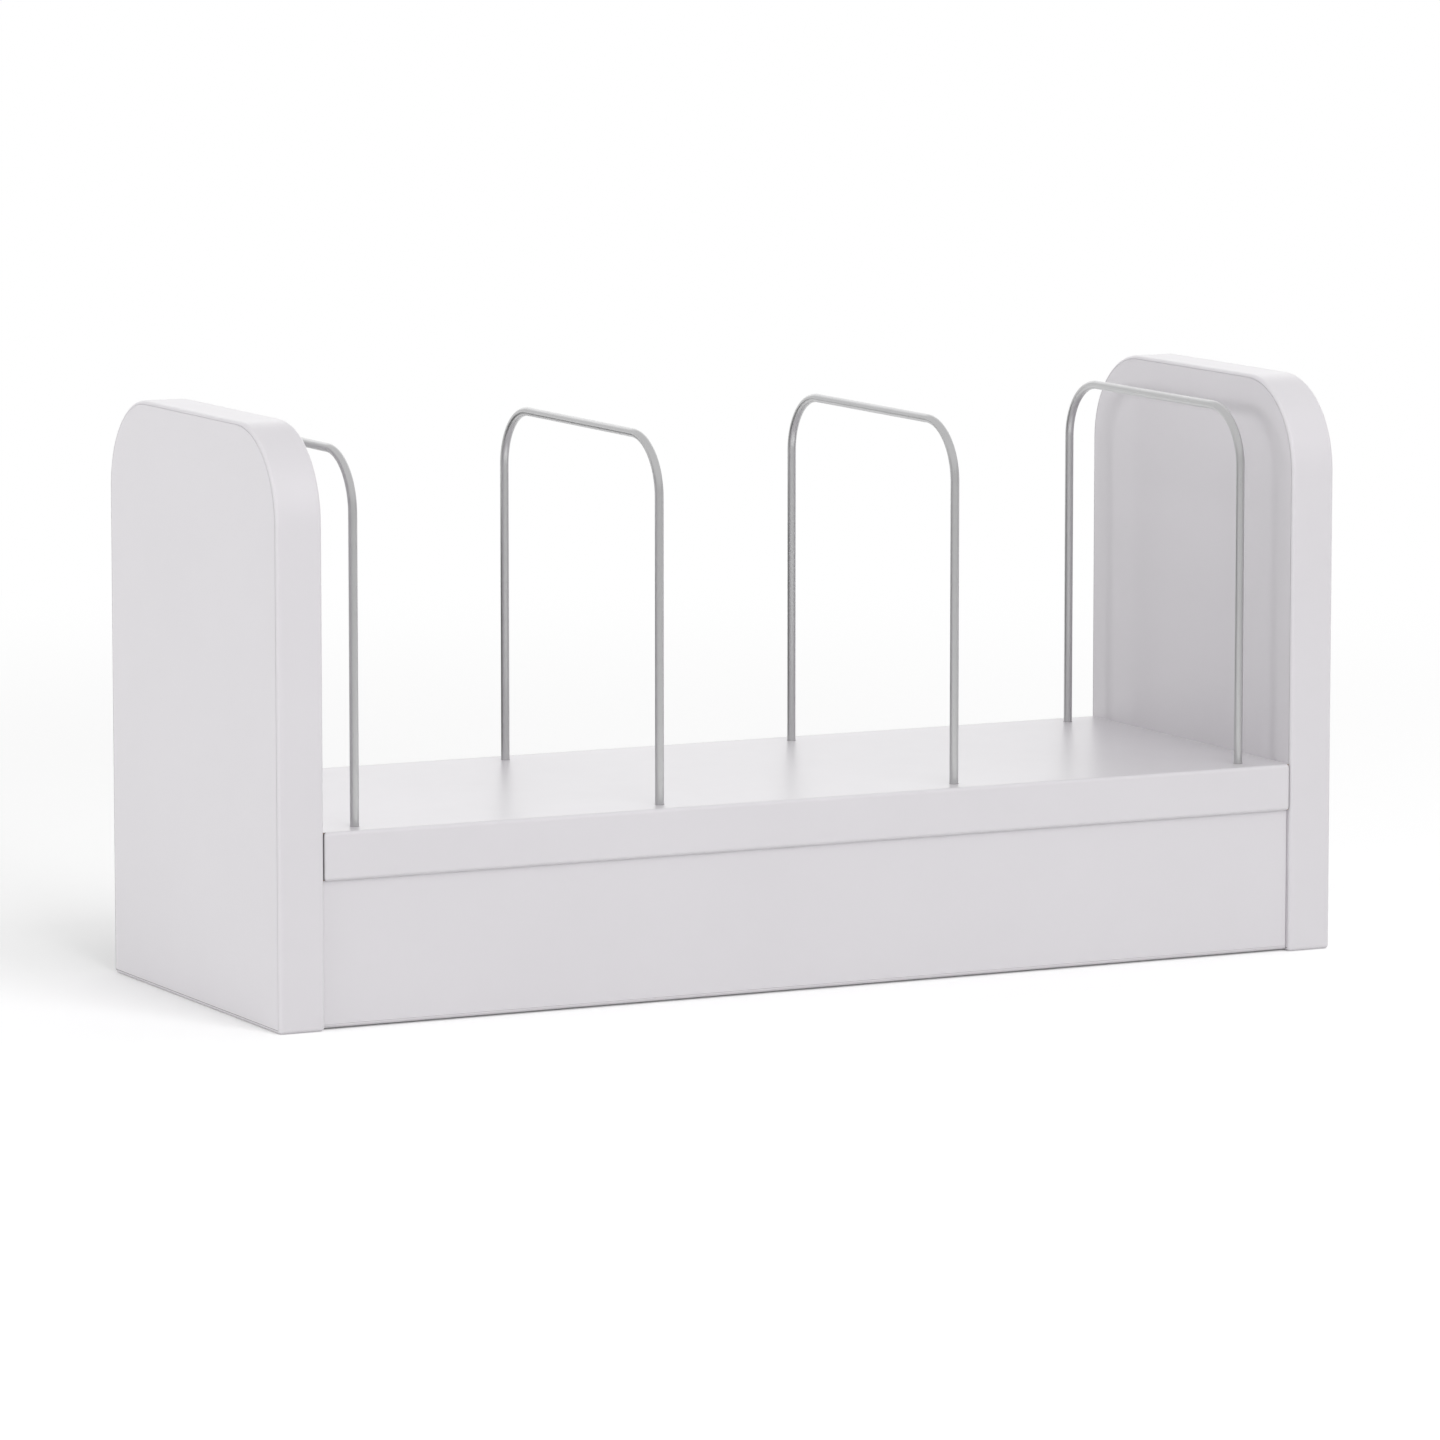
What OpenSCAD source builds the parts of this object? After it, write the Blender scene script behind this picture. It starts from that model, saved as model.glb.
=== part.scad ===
// Desktop shelf with wire dividers
// Two end boards carry a shelf board and a plinth rail. All edges that show are covered by a plastic
// edge band with rounded edges. Four bent steel rods stand in blind holes in the shelf and lift out.
// Origin: middle of the footprint, on the table. +X to the right, +Y to the back, +Z up.

/* [Overall] */
// Width over both end boards
overall_w = 600; // [450:10:800]
// Depth of the end boards and the shelf, edge bands included
overall_d = 214; // [190:2:260]
// Height of the end boards
overall_h = 300; // [220:5:380]

/* [End boards] */
// Thickness of the end boards
end_t = 24.6; // [20:0.2:30]
// Radius of the two top corners
corner_r = 48; // [20:1:70]

/* [Shelf] */
// Thickness of the shelf board
shelf_t = 24.4; // [20:0.2:28]
// Height of the shelf's top face above the table
shelf_top = 99.2; // [90:0.2:120]

/* [Plinth rail] */
// Thickness of the rail
rail_t = 18; // [16:1:22]
// How far the rail's front face lies behind the shelf's front face
rail_setback = 2.8; // [0:0.2:10]
// Gap between the rail and the table
rail_lift = 1; // [0.5:0.5:4]
// Radius that eases the rail's front edge at each end
rail_end_r = 1; // [0.5:0.1:2]

/* [Edge bands] */
// Thickness of the edge bands
band_t = 2; // [1.5:0.1:3]
// Radius along the outer edges of the edge bands
band_edge_r = 2; // [0.5:0.1:3]
// Width of the fine V that is scraped along the joint between board and band
joint_v = 0.3; // [0.1:0.05:0.5]

/* [Wire dividers] */
// Number of dividers
divider_count = 4; // [2:1:6]
// Diameter of the steel rod
wire_d = 4.5; // [3:0.1:6]
// Height of a divider above the shelf
divider_h = 188; // [120:1:260]
// Inside radius of the two bends
bend_inside_r = 28; // [12:1:50]
// Distance from the shelf's front and back faces to the middle of each leg
leg_inset = 15; // [10:1:25]
// Distance from an end board to the middle of the divider nearest to it
end_bay = 23; // [16:1:50]
// Depth of the blind holes that hold the feet
foot_depth = 16; // [10:0.5:17]
// Clearance all round a foot in its hole
foot_play = 0.25; // [0.1:0.05:0.4]
// Chamfer at the end of each foot
foot_chamfer = 0.5; // [0.2:0.1:1]

/* [Dowels] */
// Diameter of a dowel hole
dowel_hole_d = 8; // [6:0.5:10]
// Length of a dowel
dowel_len = 30; // [25:1:35]
// Chamfer at the ends of a dowel
dowel_chamfer = 1; // [0.5:0.1:1.5]
// Depth that a dowel goes up into the shelf from the rail
dowel_in_shelf = 10; // [8:0.5:12]
// Spare depth at the bottom of the holes for dowels and bolts
hole_spare = 0.5; // [0.2:0.1:1]
// Clearance all round a dowel in its hole
dowel_play = 0.05; // [0.02:0.01:0.1]

/* [Cam fittings] */
// Diameter of the hole for a cam
cam_hole_d = 15; // [14:0.5:18]
// Clearance round a cam in its hole, and round a bolt in its hole and in the cam
cam_play = 0.1; // [0.05:0.05:0.3]
// Distance from the end of a board to the middle of its cams
cam_reach = 34; // [28:1:40]
// Distance from the shelf's front and back faces to the cam fittings
cam_inset = 50; // [40:1:55]
// Distance between a cam fitting and the dowel beside it
fitting_step = 32; // [22:1:34]
// Radius of the hollow in a cam
cam_hollow_r = 5.3; // [4.8:0.1:5.8]
// Wall that closes the inner end of a cam
cam_wall = 0.8; // [0.5:0.1:1.5]
// Clearance above and below a bolt's head in the cam
head_play = 0.3; // [0.1:0.1:0.5]
// Width of the two crossed screwdriver slots
drive_w = 1.6; // [1:0.1:2.5]
// Length of the screwdriver slots
drive_len = 9; // [6:0.5:11]
// Depth of the screwdriver slots
drive_depth = 2.5; // [1:0.5:3]
// Diameter of a bolt's thread, and of its pilot hole
bolt_thread_d = 5; // [4:0.5:6]
// Length of a bolt's thread in the end board
bolt_thread_len = 11; // [8:0.5:13]
// Diameter of the hole that a bolt passes through
bolt_hole_d = 8; // [7.5:0.5:9]
// Diameter of a bolt's shank
bolt_shank_d = 5.8; // [5:0.1:6.5]
// Diameter of a bolt's neck
bolt_neck_d = 4; // [3:0.1:4.5]
// Diameter of a bolt's head
bolt_head_d = 6.8; // [6:0.1:7.2]
// Length of a bolt's head
bolt_head_len = 3.5; // [2.5:0.1:4.5]
// Thickness of the collar that seats on the end board
bolt_collar_t = 1; // [0.5:0.1:2]
// Clearance round a bolt's thread in its pilot hole
bolt_play = 0.05; // [0.02:0.01:0.1]

/* [Hidden] */
$fn = 96;

// Overlap that lets a cut pass clean through a face
cut = 1;

// Boards
inner_w = overall_w - 2 * end_t;
shelf_bottom = shelf_top - shelf_t;
shelf_mid = shelf_top - shelf_t / 2;
rail_h = shelf_bottom - rail_lift;
rail_front = -overall_d / 2 + rail_setback;
rail_back = rail_front + rail_t;
rail_mid_y = rail_front + rail_t / 2;
rail_mid_z = rail_lift + rail_h / 2;
edge_r = min(band_edge_r, band_t);

// Dividers
divider_pitch = (inner_w - 2 * end_bay) / (divider_count - 1);
leg_y = overall_d / 2 - leg_inset;
foot_z = shelf_top - foot_depth;
foot_hole_d = wire_d + 2 * foot_play;
bend_r = bend_inside_r + wire_d / 2;
bar_z = shelf_top + divider_h - wire_d / 2;

// Fittings
dowel_d = dowel_hole_d - 2 * dowel_play;
fitting_y = overall_d / 2 - cam_inset;
shelf_dowel_y = fitting_y - fitting_step;
rail_cam_z = rail_mid_z - fitting_step / 2;
rail_dowel_z = rail_mid_z + fitting_step / 2;
cam_hollow_h = bolt_head_d + 2 * head_play;
cam_over = cam_hollow_h / 2 + cam_wall;
cam_r = cam_hole_d / 2 - cam_play;
bolt_head_x = cam_reach - sqrt(cam_hollow_r ^ 2 - (bolt_head_d / 2) ^ 2) + cam_play;
bolt_neck_x = cam_reach - cam_r - cam_play;

board_white = [0.88, 0.87, 0.885];
band_white = [0.87, 0.86, 0.875];
steel = [0.62, 0.62, 0.63];
zinc = [0.55, 0.56, 0.58];
beech = [0.80, 0.66, 0.47];

function divider_x(i) = -inner_w / 2 + end_bay + (i - 1) * divider_pitch;

// Cross-section of an edge band on a board of thickness t. Its inner face lies on x = 0.
module band_section(t) {
    difference() {
        square([band_t, t]);
        for (side = [0, 1])
            translate([0, side * t]) mirror([0, side]) {
                difference() {
                    translate([band_t - edge_r, -cut]) square([edge_r + cut, edge_r + cut]);
                    translate([band_t - edge_r, edge_r]) circle(r = edge_r);
                }
                polygon([[-cut, -cut], [joint_v + cut, -cut], [-cut, joint_v + cut]]);
            }
    }
}

// Straight length of band. It starts at (x, y) on the board's edge and runs to the left of "facing",
// the direction in degrees that its outer face looks in.
module band_run(x, y, facing, len, t) {
    translate([x, y, 0]) rotate([0, 0, facing]) translate([0, len, 0]) rotate([90, 0, 0])
        linear_extrude(len) band_section(t);
}

// Quarter turn of band round the point (x, y), where r is the radius of its inner face
module band_turn(x, y, start, r, t) {
    translate([x, y, 0]) rotate([0, 0, start])
        rotate_extrude(angle = 90) translate([r, 0]) band_section(t);
}

// The end boards are drawn lying down: x is depth, y is height and z is thickness
module stand_up(side) {
    translate([side < 0 ? -overall_w / 2 : overall_w / 2 - end_t, 0, 0]) rotate([90, 0, 90]) children();
}

module end_outline() {
    half_d = overall_d / 2 - band_t;
    core_r = corner_r - band_t;
    translate([-half_d, band_t]) square([2 * half_d, overall_h - corner_r - band_t]);
    translate([-half_d + core_r, overall_h - corner_r]) square([2 * (half_d - core_r), core_r]);
    for (s = [-1, 1])
        translate([s * (half_d - core_r), overall_h - corner_r]) circle(r = core_r);
}

module end_board(side) {
    color(board_white) difference() {
        stand_up(side) linear_extrude(end_t) end_outline();
        for (s = [-1, 1]) {
            from_end(side, s * fitting_y, shelf_mid) bolt_pilot();
            from_end(side, s * shelf_dowel_y, shelf_mid) dowel_hole_in_end();
        }
        from_end(side, rail_mid_y, rail_cam_z) bolt_pilot();
        from_end(side, rail_mid_y, rail_dowel_z) dowel_hole_in_end();
    }
}

module end_edge_band(side) {
    half_d = overall_d / 2;
    straight = overall_h - corner_r - band_t;
    color(band_white) stand_up(side) {
        band_turn(-half_d + band_t, band_t, 180, 0, end_t);
        band_run(-half_d + band_t, overall_h - corner_r, 180, straight, end_t);
        band_turn(-half_d + corner_r, overall_h - corner_r, 90, corner_r - band_t, end_t);
        band_run(half_d - corner_r, overall_h - band_t, 90, 2 * (half_d - corner_r), end_t);
        band_turn(half_d - corner_r, overall_h - corner_r, 0, corner_r - band_t, end_t);
        band_run(half_d - band_t, band_t, 0, straight, end_t);
        band_turn(half_d - band_t, band_t, 270, 0, end_t);
    }
}

module end_base_band(side) {
    half_d = overall_d / 2 - band_t;
    color(band_white) stand_up(side) band_run(-half_d, band_t, 270, 2 * half_d, end_t);
}

// Places a fitting on the inner face of an end board, with x pointing away from that board
module from_end(side, y, z) {
    translate([side * inner_w / 2, y, z]) mirror([side < 0 ? 0 : 1, 0, 0]) children();
}

module bolt_pilot() {
    translate([-bolt_thread_len - hole_spare, 0, 0]) rotate([0, 90, 0])
        cylinder(d = bolt_thread_d, h = bolt_thread_len + hole_spare + cut);
}

module bolt_way() {
    translate([-cut, 0, 0]) rotate([0, 90, 0]) cylinder(d = bolt_hole_d, h = cam_reach + cut);
}

module dowel_hole_in_end() {
    depth = dowel_len / 2 + hole_spare;
    translate([-depth, 0, 0]) rotate([0, 90, 0]) cylinder(d = dowel_hole_d, h = depth + cut);
}

module dowel_hole_in_board() {
    translate([-cut, 0, 0]) rotate([0, 90, 0])
        cylinder(d = dowel_hole_d, h = dowel_len / 2 + hole_spare + cut);
}

module shelf_board() {
    core_d = overall_d - 2 * band_t;
    color(board_white) difference() {
        translate([-inner_w / 2, -core_d / 2, shelf_bottom]) cube([inner_w, core_d, shelf_t]);
        for (i = [1 : divider_count], s = [-1, 1])
            translate([divider_x(i), s * leg_y, foot_z]) cylinder(d = foot_hole_d, h = foot_depth + cut);
        for (side = [-1, 1], s = [-1, 1]) {
            from_end(side, s * fitting_y, shelf_mid) bolt_way();
            from_end(side, s * fitting_y, shelf_bottom) translate([cam_reach, 0, -cut])
                cylinder(d = cam_hole_d, h = shelf_t / 2 + cam_over + cam_play + cut);
            from_end(side, s * shelf_dowel_y, shelf_mid) dowel_hole_in_board();
        }
        at_rail_top() translate([0, 0, -cut])
            cylinder(d = dowel_hole_d, h = dowel_in_shelf + hole_spare + cut);
    }
}

// Band along the shelf's front edge, drawn for s = -1, or its back edge, for s = 1
module shelf_band(s) {
    half_w = inner_w / 2 - band_t;
    half_d = overall_d / 2 - band_t;
    color(band_white) translate([0, 0, shelf_bottom]) rotate([0, 0, s < 0 ? 0 : 180]) {
        band_turn(-half_w, -half_d, 180, 0, shelf_t);
        band_run(-half_w, -half_d, 270, 2 * half_w, shelf_t);
        band_turn(half_w, -half_d, 270, 0, shelf_t);
    }
}

// The rail's drawing plane: x is width, y is height and z is thickness from back to front
module stand_rail() {
    translate([0, rail_back, 0]) rotate([90, 0, 0]) children();
}

// Plan of the rail, with its two front edges eased
module rail_plan() {
    translate([-inner_w / 2, rail_front + rail_end_r]) square([inner_w, rail_t - rail_end_r]);
    translate([-inner_w / 2 + rail_end_r, rail_front]) square([inner_w - 2 * rail_end_r, rail_end_r]);
    for (s = [-1, 1])
        translate([s * (inner_w / 2 - rail_end_r), rail_front + rail_end_r]) circle(r = rail_end_r);
}

module rail_board() {
    color(board_white) difference() {
        translate([0, 0, rail_lift + band_t]) linear_extrude(rail_h - band_t) rail_plan();
        for (side = [-1, 1]) {
            from_end(side, rail_mid_y, rail_cam_z) bolt_way();
            from_end(side, rail_back, rail_cam_z) translate([cam_reach, cut, 0]) rotate([90, 0, 0])
                cylinder(d = cam_hole_d, h = rail_t / 2 + cam_over + cam_play + cut);
            from_end(side, rail_mid_y, rail_dowel_z) dowel_hole_in_board();
        }
        at_rail_top() mirror([0, 0, 1]) translate([0, 0, -cut])
            cylinder(d = dowel_hole_d, h = dowel_len - dowel_in_shelf + hole_spare + cut);
    }
}

module rail_base_band() {
    color(band_white) intersection() {
        stand_rail() band_run(-inner_w / 2, rail_lift + band_t, 270, inner_w, rail_t);
        linear_extrude(shelf_bottom) rail_plan();
    }
}

// One place in the middle of each bay, on the joint between the rail and the shelf
module at_rail_top() {
    for (i = [1 : divider_count - 1])
        translate([divider_x(i) + divider_pitch / 2, rail_mid_y, shelf_bottom]) children();
}

// Dowel along z, from z = 0 to its length
module dowel() {
    r = dowel_d / 2;
    rotate_extrude()
        polygon([[0, 0], [r - dowel_chamfer, 0], [r, dowel_chamfer], [r, dowel_len - dowel_chamfer],
                 [r - dowel_chamfer, dowel_len], [0, dowel_len]]);
}

module end_dowel() {
    translate([-dowel_len / 2, 0, 0]) rotate([0, 90, 0]) dowel();
}

module shelf_dowels() {
    color(beech) for (side = [-1, 1], s = [-1, 1]) from_end(side, s * shelf_dowel_y, shelf_mid) end_dowel();
}

module rail_dowels() {
    color(beech) for (side = [-1, 1]) from_end(side, rail_mid_y, rail_dowel_z) end_dowel();
}

module rail_top_dowels() {
    color(beech) at_rail_top() translate([0, 0, dowel_in_shelf - dowel_len]) dowel();
}

// Cam for a board of thickness t. Its slotted face lies on z = 0 and the bolt comes from -x.
module cam(t) {
    difference() {
        cylinder(r = cam_r, h = t / 2 + cam_over);
        translate([0, 0, t / 2 - cam_hollow_h / 2]) cylinder(r = cam_hollow_r, h = cam_hollow_h);
        translate([0, 0, t / 2]) rotate([0, 0, 150]) rotate_extrude(angle = 110)
            translate([cam_hollow_r - cut, -bolt_neck_d / 2 - cam_play])
                square([cam_r - cam_hollow_r + 2 * cut, bolt_neck_d + 2 * cam_play]);
        translate([0, 0, t / 2]) rotate([0, 90, 260])
            cylinder(d = bolt_head_d + 2 * cam_play, h = cam_r + cut);
        for (a = [45, 135])
            rotate([0, 0, a]) translate([-drive_len / 2, -drive_w / 2, -cut])
                cube([drive_len, drive_w, drive_depth + cut]);
    }
}

module shelf_cams() {
    color(zinc) for (side = [-1, 1], s = [-1, 1])
        from_end(side, s * fitting_y, shelf_bottom) translate([cam_reach, 0, 0]) cam(shelf_t);
}

module rail_cams() {
    color(zinc) for (side = [-1, 1])
        from_end(side, rail_back, rail_cam_z) translate([cam_reach, 0, 0]) rotate([90, 0, 0]) cam(rail_t);
}

// Bolt along x. Its collar seats on x = 0, and its thread lies behind that face.
module cam_bolt() {
    rotate([0, 90, 0]) {
        translate([0, 0, -bolt_thread_len]) cylinder(d = bolt_thread_d - 2 * bolt_play, h = bolt_thread_len);
        cylinder(d = bolt_hole_d - 2 * cam_play, h = bolt_collar_t);
        cylinder(d = bolt_shank_d, h = bolt_neck_x);
        cylinder(d = bolt_neck_d, h = bolt_head_x);
        translate([0, 0, bolt_head_x]) cylinder(d = bolt_head_d, h = bolt_head_len);
    }
}

module shelf_cam_bolts() {
    color(steel) for (side = [-1, 1], s = [-1, 1]) from_end(side, s * fitting_y, shelf_mid) cam_bolt();
}

module rail_cam_bolts() {
    color(steel) for (side = [-1, 1]) from_end(side, rail_mid_y, rail_cam_z) cam_bolt();
}

// One rod, bent twice: two legs, two quarter bends and a straight top bar
module divider(i) {
    leg_top = bar_z - bend_r;
    color(steel) translate([divider_x(i), 0, 0]) {
        for (s = [-1, 1]) {
            translate([0, s * leg_y, foot_z])
                cylinder(d1 = wire_d - 2 * foot_chamfer, d2 = wire_d, h = foot_chamfer);
            translate([0, s * leg_y, foot_z + foot_chamfer])
                cylinder(d = wire_d, h = leg_top - foot_z - foot_chamfer);
            translate([0, s * (leg_y - bend_r), leg_top]) rotate([90, 0, 90]) rotate([0, 0, s < 0 ? 90 : 0])
                rotate_extrude(angle = 90) translate([bend_r, 0]) circle(d = wire_d);
        }
        translate([0, -leg_y + bend_r, bar_z]) rotate([-90, 0, 0])
            cylinder(d = wire_d, h = 2 * (leg_y - bend_r));
    }
}

end_board(-1);  // left_end_board
end_edge_band(-1);  // left_end_edge_band
end_base_band(-1);  // left_end_base_band
end_board(1);  // right_end_board
end_edge_band(1);  // right_end_edge_band
end_base_band(1);  // right_end_base_band
shelf_board();
shelf_band(-1);  // shelf_front_band
shelf_band(1);  // shelf_back_band
rail_board();
rail_base_band();
shelf_dowels();
rail_dowels();
rail_top_dowels();
shelf_cams();
rail_cams();
shelf_cam_bolts();
rail_cam_bolts();
for (i = [1 : divider_count])
    divider(i);
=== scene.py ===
import math

import bpy
import numpy as np
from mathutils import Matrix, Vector


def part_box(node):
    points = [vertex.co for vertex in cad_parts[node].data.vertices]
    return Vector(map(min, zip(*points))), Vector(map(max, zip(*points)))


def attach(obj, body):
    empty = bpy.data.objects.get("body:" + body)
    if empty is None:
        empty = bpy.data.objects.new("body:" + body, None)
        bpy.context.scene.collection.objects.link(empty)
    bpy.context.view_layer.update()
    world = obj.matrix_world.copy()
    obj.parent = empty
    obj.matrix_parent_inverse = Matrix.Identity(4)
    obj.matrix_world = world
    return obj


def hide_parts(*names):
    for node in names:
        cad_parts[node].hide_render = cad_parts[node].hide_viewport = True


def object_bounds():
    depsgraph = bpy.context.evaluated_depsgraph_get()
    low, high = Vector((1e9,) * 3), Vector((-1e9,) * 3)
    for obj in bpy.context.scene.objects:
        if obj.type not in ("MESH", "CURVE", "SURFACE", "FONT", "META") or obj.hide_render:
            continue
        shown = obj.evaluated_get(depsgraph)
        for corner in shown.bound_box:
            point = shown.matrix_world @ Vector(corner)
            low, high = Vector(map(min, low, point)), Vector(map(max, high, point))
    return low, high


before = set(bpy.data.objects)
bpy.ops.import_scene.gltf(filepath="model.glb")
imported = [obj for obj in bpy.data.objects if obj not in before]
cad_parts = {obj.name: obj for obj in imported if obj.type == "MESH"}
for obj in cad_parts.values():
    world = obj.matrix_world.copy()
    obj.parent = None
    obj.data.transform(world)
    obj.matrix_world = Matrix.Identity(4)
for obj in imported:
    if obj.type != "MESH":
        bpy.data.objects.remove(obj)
cadLow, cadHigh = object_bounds()
mm = 0.001
print("stage: frame loaded,", len(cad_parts), "nodes")


# Camera

viewpoint = {
    "location": (-1.8909, -3.7876, 0.6940),  # metres: left of the object, in front of it and above it
    "turn": 26.479,  # degrees from +Y towards +X
    "tilt": 7.640,  # degrees below the horizon
    "lens": 205.885,  # mm
    "sensor": 36.0,  # mm, the width of the square frame
    "clip": (0.1, 200.0),  # metres
}


def placeCamera(s=viewpoint):
    turn, tilt = math.radians(s["turn"]), math.radians(s["tilt"])
    ahead = Vector((math.sin(turn) * math.cos(tilt), math.cos(turn) * math.cos(tilt), -math.sin(tilt)))
    data = bpy.data.cameras.new("camera")
    data.sensor_width = s["sensor"]
    data.lens = s["lens"]
    data.clip_start, data.clip_end = s["clip"]
    camera = bpy.data.objects.new("camera", data)
    camera.location = s["location"]
    camera.rotation_mode = "QUATERNION"
    camera.rotation_quaternion = ahead.to_track_quat("-Z", "Y")
    bpy.context.scene.collection.objects.link(camera)
    bpy.context.scene.camera = camera


placeCamera()
print("stage: camera placed")


# Node helpers

def emptyMaterial(name):
    material = bpy.data.materials.new(name)
    material.use_nodes = True
    tree = material.node_tree
    tree.nodes.clear()
    return material, tree, tree.nodes.new("ShaderNodeOutputMaterial")


def newMaterial(name):
    material, tree, output = emptyMaterial(name)
    shader = tree.nodes.new("ShaderNodeBsdfPrincipled")
    tree.links.new(shader.outputs["BSDF"], output.inputs["Surface"])
    return material, tree, shader


def glowMaterial(name):
    # A surface that only gives off light
    material, tree, output = emptyMaterial(name)
    glow = tree.nodes.new("ShaderNodeEmission")
    tree.links.new(glow.outputs["Emission"], output.inputs["Surface"])
    return material, tree, glow


def connect(tree, value, socket):
    if isinstance(value, bpy.types.NodeSocket):
        tree.links.new(value, socket)
    else:
        socket.default_value = value


def maths(tree, operation, a, b):
    node = tree.nodes.new("ShaderNodeMath")
    node.operation = operation
    for value, socket in zip((a, b), node.inputs):
        connect(tree, value, socket)
    return node.outputs[0]


def mixed(tree, share, a, b):
    # a * share + b * (1 - share)
    return maths(tree, "ADD", maths(tree, "MULTIPLY", a, share), maths(tree, "MULTIPLY", b, 1.0 - share))


def ramp(tree, value, fromLow, fromHigh, toLow, toHigh):
    node = tree.nodes.new("ShaderNodeMapRange")
    names = ("Value", "From Min", "From Max", "To Min", "To Max")
    for name, given in zip(names, (value, fromLow, fromHigh, toLow, toHigh)):
        connect(tree, given, node.inputs[name])
    return node.outputs["Result"]


def blendColours(tree, share, a, b):
    node = tree.nodes.new("ShaderNodeMix")
    node.data_type = "RGBA"
    connect(tree, share, node.inputs["Factor"])
    connect(tree, a, node.inputs["A"])
    connect(tree, b, node.inputs["B"])
    return node.outputs["Result"]


def coordinates(tree, source, scale=(1.0, 1.0, 1.0)):
    point = tree.nodes.new("ShaderNodeTexCoord")
    mapping = tree.nodes.new("ShaderNodeMapping")
    mapping.inputs["Scale"].default_value = scale
    tree.links.new(point.outputs[source], mapping.inputs["Vector"])
    return mapping.outputs["Vector"]


def noise(tree, vector, scale, detail=2.0, roughness=0.5):
    node = tree.nodes.new("ShaderNodeTexNoise")
    tree.links.new(vector, node.inputs["Vector"])
    node.inputs["Scale"].default_value = scale
    node.inputs["Detail"].default_value = detail
    node.inputs["Roughness"].default_value = roughness
    return node.outputs["Fac"]


def bump(tree, height, distance, under=None):
    node = tree.nodes.new("ShaderNodeBump")
    node.inputs["Strength"].default_value = 1.0
    node.inputs["Distance"].default_value = distance
    tree.links.new(height, node.inputs["Height"])
    if under is not None:
        tree.links.new(under, node.inputs["Normal"])
    return node.outputs["Normal"]


# Finishes

# A noise mostly stays between the two values of each pair, which become the two ends of a ramp
softContrast = (0.3, 0.7)
hardContrast = (0.35, 0.65)

melamine = {
    "white": (0.793, 0.771, 0.801, 1.0),
    "shade": (0.777, 0.755, 0.785, 1.0),  # the duller patches
    "patchScale": 9.0,  # per metre, as all scales are here
    "wornScale": 54.0,  # of the patches that are less smooth
    "roughness": (0.33, 0.39),
    "coat": 0.7,  # the clear resin over the white
    "coatRoughness": 0.31,
    "pearlScale": 1500.0,  # grains of the pressed surface, about 0.7 mm
    "pearlHeight": 0.004 * mm,
    "waveScale": 160.0,
    "waveHeight": 0.012 * mm,
    "core": (0.42, 0.29, 0.17, 1.0),  # chipboard
    "coreDark": (0.24, 0.15, 0.08, 1.0),
    "coreRougher": 0.4,
    "chipScale": 900.0,
    "chipHeight": 0.3 * mm,
}
# The axis across each board, and how deep the white reaches below its two faces
boardFaces = {
    "left_end_board": ("X", 0.5 * mm),
    "right_end_board": ("X", 0.5 * mm),
    "shelf_board": ("Z", 0.2 * mm),
    "rail_board": ("Y", 1.2 * mm),
}


def melamineMaterial(name, axis, nearFace, farFace, skin, s=melamine):
    # White melamine on chipboard. The core shows where a point lies deeper than the skin below both faces.
    material, tree, shader = newMaterial(name)
    place = coordinates(tree, "Object")
    patches = noise(tree, place, s["patchScale"], detail=3.0)
    white = blendColours(tree, ramp(tree, patches, *softContrast, 0.0, 1.0), s["shade"], s["white"])
    apart = tree.nodes.new("ShaderNodeSeparateXYZ")
    tree.links.new(place, apart.inputs["Vector"])
    across = apart.outputs["XYZ".index(axis)]
    fromNear = maths(tree, "SUBTRACT", across, nearFace)
    fromFar = maths(tree, "SUBTRACT", farFace, across)
    inside = maths(tree, "GREATER_THAN", maths(tree, "MINIMUM", fromNear, fromFar), skin)
    chips = noise(tree, place, s["chipScale"], detail=4.0, roughness=0.7)
    core = blendColours(tree, ramp(tree, chips, *hardContrast, 0.0, 1.0), s["coreDark"], s["core"])
    connect(tree, blendColours(tree, inside, white, core), shader.inputs["Base Color"])
    worn = noise(tree, place, s["wornScale"], detail=4.0, roughness=0.6)
    faceRoughness = ramp(tree, worn, *softContrast, *s["roughness"])
    coreRoughness = maths(tree, "MULTIPLY", inside, s["coreRougher"])
    connect(tree, maths(tree, "ADD", faceRoughness, coreRoughness), shader.inputs["Roughness"])
    shader.inputs["Coat Weight"].default_value = s["coat"]
    shader.inputs["Coat Roughness"].default_value = s["coatRoughness"]
    wave = bump(tree, noise(tree, place, s["waveScale"], detail=1.0), s["waveHeight"])
    pearl = bump(tree, noise(tree, place, s["pearlScale"], detail=1.0), s["pearlHeight"], wave)
    chipped = bump(tree, maths(tree, "MULTIPLY", chips, inside), s["chipHeight"], pearl)
    connect(tree, chipped, shader.inputs["Normal"])
    return material


edging = {
    "white": (0.793, 0.771, 0.801, 1.0),
    "shade": (0.777, 0.755, 0.785, 1.0),
    "glueAndShade": (0.18, 0.175, 0.18, 1.0),  # dark glue in the joints, and painted shade where a strip ends in a narrow gap
    "toneScale": 14.0,
    "roughness": (0.33, 0.40),
    "coat": 0.7,
    "coatRoughness": 0.31,
    "scrapeScale": (9.0, 2600.0, 1.0),  # along and across the strip
    "scrapeHeight": 0.003 * mm,
    "pearlScale": 1900.0,
    "pearlHeight": 0.003 * mm,
}


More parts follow.
